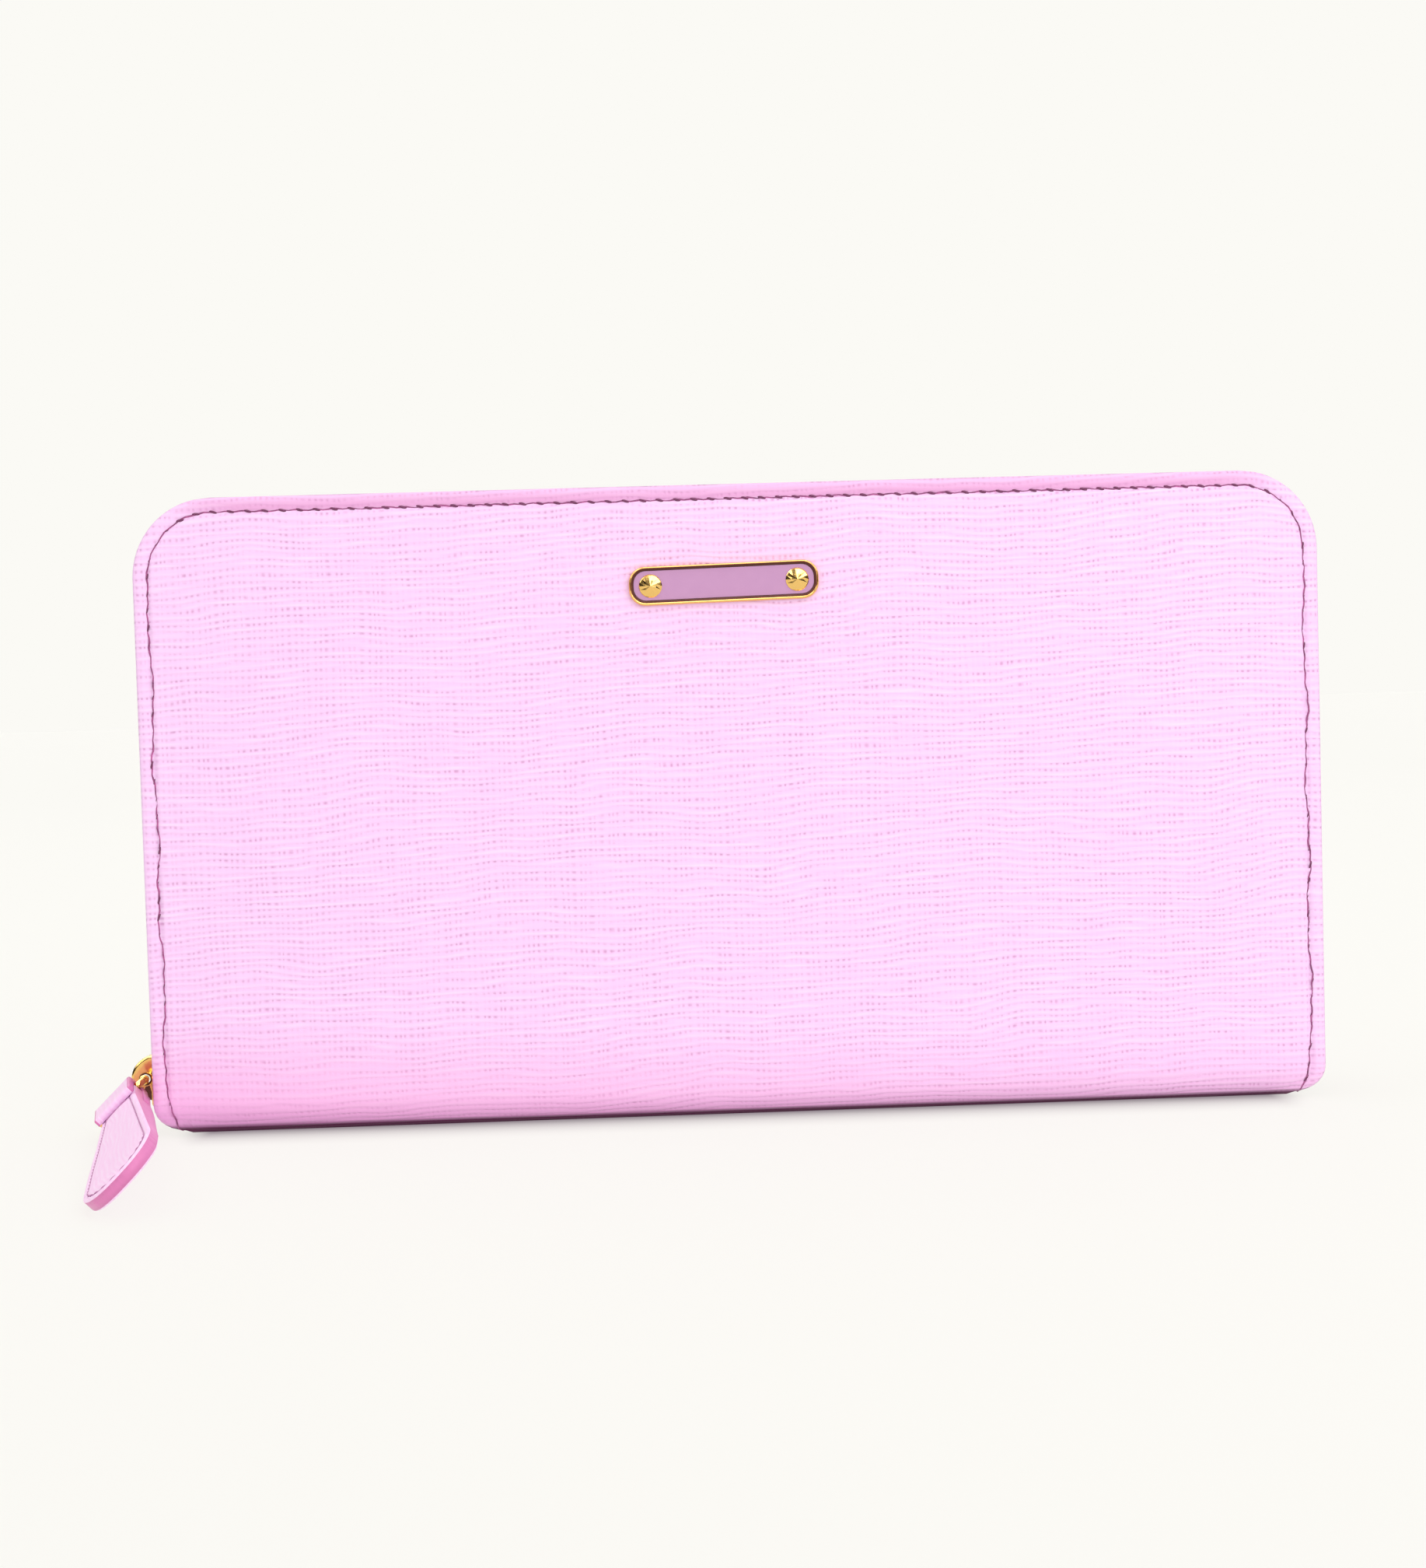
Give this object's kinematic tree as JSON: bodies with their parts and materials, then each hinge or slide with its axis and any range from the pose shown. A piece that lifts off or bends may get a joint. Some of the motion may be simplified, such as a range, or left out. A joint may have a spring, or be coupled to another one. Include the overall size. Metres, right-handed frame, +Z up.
{
  "type": "zip around wallet",
  "caption": "Long upright zip around wallet in grained pink leather, with a plaque on the front, card tiers, bill compartments, a zipped coin pocket and a leather zip pull.",
  "frame": {"origin": "middle of the spine's flat base, where the wallet stands", "axes": "+X along the width with the zip slider at -X, -Y towards the front with the plaque, +Z up"},
  "size_m": [0.2057, 0.0853, 0.105],
  "materials": {
    "outer_leather": "crosshatch grained, satin",
    "inner_leather": "smooth, satin",
    "pull_leather": "grained, painted edges",
    "lining_fabric": "fine woven lining",
    "zip_tape": "woven tape",
    "zip_teeth": "polished gold",
    "gold_hardware": "polished gold",
    "stiffener": "pressed board",
    "inlay": "glossy enamel"
  },
  "bodies": {
    "spine": {"spine_leather": "outer_leather", "spine_board": "stiffener", "spine_lining": "lining_fabric", "coin_front_wall": "lining_fabric", "coin_back_wall": "lining_fabric", "coin_edge_strip": "lining_fabric", "coin_front_tape": "zip_tape", "coin_back_tape": "zip_tape", "coin_front_chain": "zip_teeth", "coin_back_chain": "zip_teeth", "gusset_left_front_coin": "lining_fabric", "gusset_right_front_coin": "lining_fabric", "gusset_left_back_coin": "lining_fabric", "gusset_right_back_coin": "lining_fabric"},
    "front_cover": {"front_leather": "outer_leather", "front_board": "stiffener", "front_lining": "lining_fabric", "front_card_tier_1": "inner_leather", "front_card_tier_2": "inner_leather", "front_card_tier_3": "inner_leather", "front_card_tier_4": "inner_leather", "front_zip_tape": "zip_tape", "front_zip_chain": "zip_teeth", "front_zip_stop": "gold_hardware", "badge_frame": "gold_hardware", "badge_inlay": "inlay", "badge_stud_left": "gold_hardware", "badge_stud_right": "gold_hardware", "gusset_left_front_cover": "lining_fabric", "gusset_right_front_cover": "lining_fabric"},
    "back_cover": {"back_leather": "outer_leather", "back_board": "stiffener", "back_lining": "lining_fabric", "back_card_tier_1": "inner_leather", "back_card_tier_2": "inner_leather", "back_card_tier_3": "inner_leather", "back_card_tier_4": "inner_leather", "back_zip_tape": "zip_tape", "back_zip_chain": "zip_teeth", "back_zip_stop": "gold_hardware", "gusset_left_back_cover": "lining_fabric", "gusset_right_back_cover": "lining_fabric"},
    "zip_slider": {"slider_body": "gold_hardware"},
    "loop": {"pull_loop": "gold_hardware"},
    "leather_pull": {"pull_face": "pull_leather", "pull_core": "stiffener", "pull_back": "pull_leather", "pull_header": "pull_leather"},
    "coin_zip_slider": {"coin_slider": "gold_hardware"},
    "coin_zip_pull": {"coin_pull": "gold_hardware"}
  },
  "joints": [
    {"name": "front_cover_hinge", "type": "hinge", "parent": "spine", "child": "front_cover", "pos_m": [0, -0.01145, 0.0066], "axis": [1, 0, 0], "range_deg": [0, 24]},
    {"name": "back_cover_hinge", "type": "hinge", "parent": "spine", "child": "back_cover", "pos_m": [0, 0.01145, 0.0066], "axis": [-1, 0, 0], "range_deg": [0, 24]},
    {"name": "zip_slide", "type": "slide", "parent": "back_cover", "child": "zip_slider", "axis": [0, 0, 1], "range_m": [0, 0.076]},
    {"name": "loop_swing", "type": "hinge", "parent": "zip_slider", "child": "loop", "pos_m": [-0.1008, 0, 0.0083], "axis": [-0.1015, 0.9896, -0.1015], "range_deg": [0, 50]},
    {"name": "pull_swing", "type": "hinge", "parent": "loop", "child": "leather_pull", "pos_m": [-0.10333, -0.0088, 0.00577], "axis": [-0.6998, -0.1435, -0.6998], "range_deg": [0, 55]},
    {"name": "coin_zip_slide", "type": "slide", "parent": "spine", "child": "coin_zip_slider", "axis": [1, 0, 0], "range_m": [0, 0.14]},
    {"name": "coin_pull_swing", "type": "hinge", "parent": "coin_zip_slider", "child": "coin_zip_pull", "pos_m": [-0.06995, 0, 0.0923], "axis": [0, -1, 0], "range_deg": [0, 30]}
  ]
}
